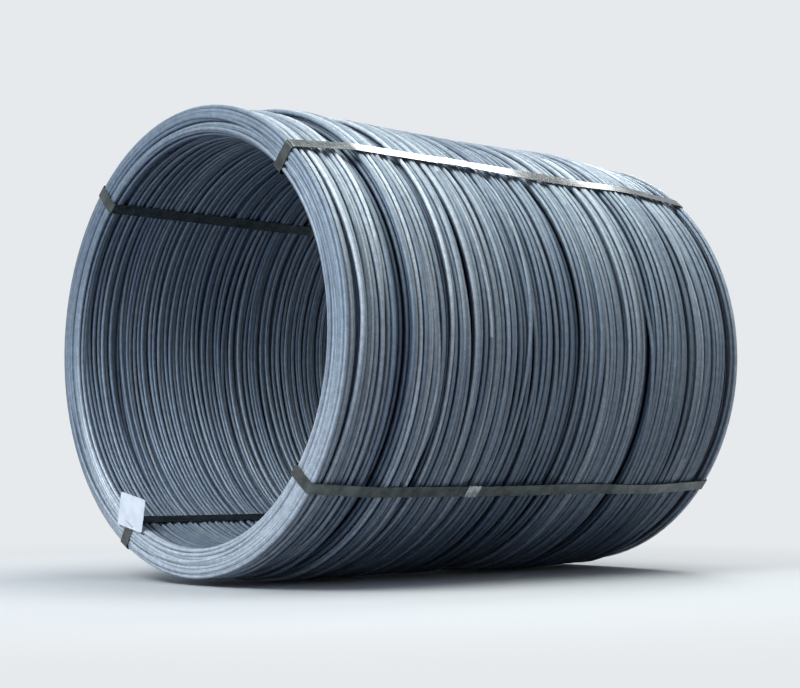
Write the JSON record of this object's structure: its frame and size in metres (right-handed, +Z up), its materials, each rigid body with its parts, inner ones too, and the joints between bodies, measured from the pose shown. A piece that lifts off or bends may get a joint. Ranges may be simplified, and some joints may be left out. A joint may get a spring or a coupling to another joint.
{
  "type": "coil of wire rod",
  "caption": "Round coil of hot-rolled steel wire rod lying on its side, tied by flat steel straps, with a blank tag on one strap.",
  "frame": {"origin": "on the floor, under the middle of the coil as it lies", "axes": "+Y along the coil's axis, from the tagged end to the other end; +Z up; +X to the right, seen from the tagged end"},
  "size_m": [1.25, 1.5056, 1.25],
  "materials": {
    "rod": "hot-rolled, blue-grey mill scale, unpainted",
    "strap": "bright cold-rolled strapping steel",
    "seal": "crimped galvanised sheet steel",
    "tag": "blank white plastic sheet",
    "tie_wire": "soft annealed wire"
  },
  "bodies": {
    "root": {"rod_coil": "rod", "strap_1": "strap", "strap_2": "strap", "strap_3": "strap", "strap_4": "strap", "seal_1": "seal", "seal_2": "seal", "seal_3": "seal", "seal_4": "seal", "tag": "tag", "tag_tie": "tie_wire"}
  },
  "joints": []
}
